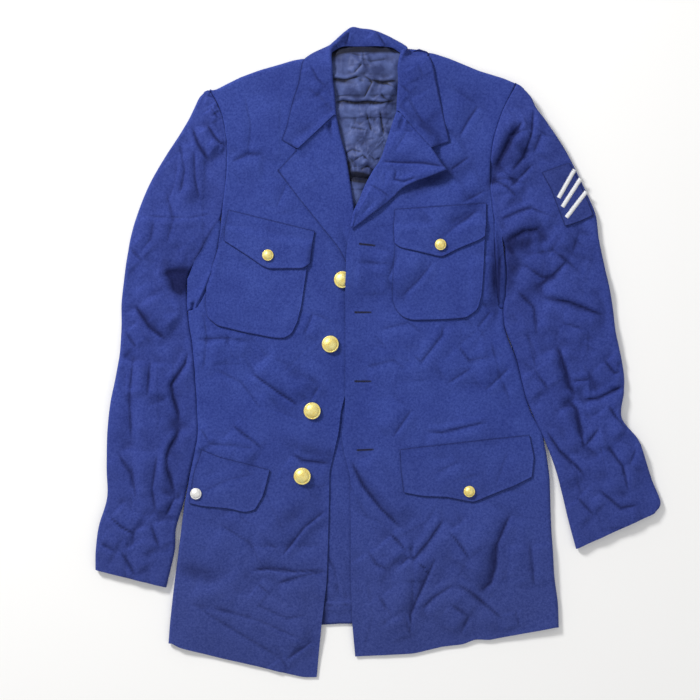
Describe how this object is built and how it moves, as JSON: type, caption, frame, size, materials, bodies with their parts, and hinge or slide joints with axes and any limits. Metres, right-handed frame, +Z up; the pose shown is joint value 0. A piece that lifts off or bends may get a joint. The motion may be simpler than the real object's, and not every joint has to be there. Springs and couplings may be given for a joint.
{
  "type": "service dress jacket",
  "caption": "Single-breasted wool uniform jacket laid flat on its back, unbuttoned, with notched lapels, a folded collar, flapped pockets, domed metal buttons and a sleeve patch.",
  "frame": {"origin": "centre of the laid-out jacket's outline, on the surface it lies on", "axes": "+Y runs from the hems to the collar, +X to the viewer's right (the wearer's left), +Z up out of the surface"},
  "size_m": [0.747, 0.859, 0.0222],
  "materials": {
    "wool": "plain-woven wool serge, blue, faint soft nap",
    "lining": "crumpled dark slate satin",
    "patch": "wool patch with three plain white embroidered bars",
    "button": "polished gold-coloured metal, fine pebbled dome inside a plain rim"
  },
  "bodies": {
    "root": {"front_left": "wool", "front_right": "wool", "side_panel_left": "wool", "side_panel_right": "wool", "back_left": "wool", "back_right": "wool", "sleeve_top_left": "wool", "sleeve_top_right": "wool", "sleeve_under_left": "wool", "sleeve_under_right": "wool", "lapel_left": "wool", "lapel_right": "wool", "collar": "wool", "pocket_left": "wool", "pocket_right": "wool", "flap_upper_left": "wool", "flap_upper_right": "wool", "flap_lower_left": "wool", "flap_lower_right": "wool", "lining": "lining", "sleeve_patch": "patch", "button_front_1": "button", "button_front_2": "button", "button_front_3": "button", "button_front_4": "button", "button_pocket_upper_left": "button", "button_pocket_upper_right": "button", "button_pocket_lower_left": "button", "button_pocket_lower_right": "button"}
  },
  "joints": []
}
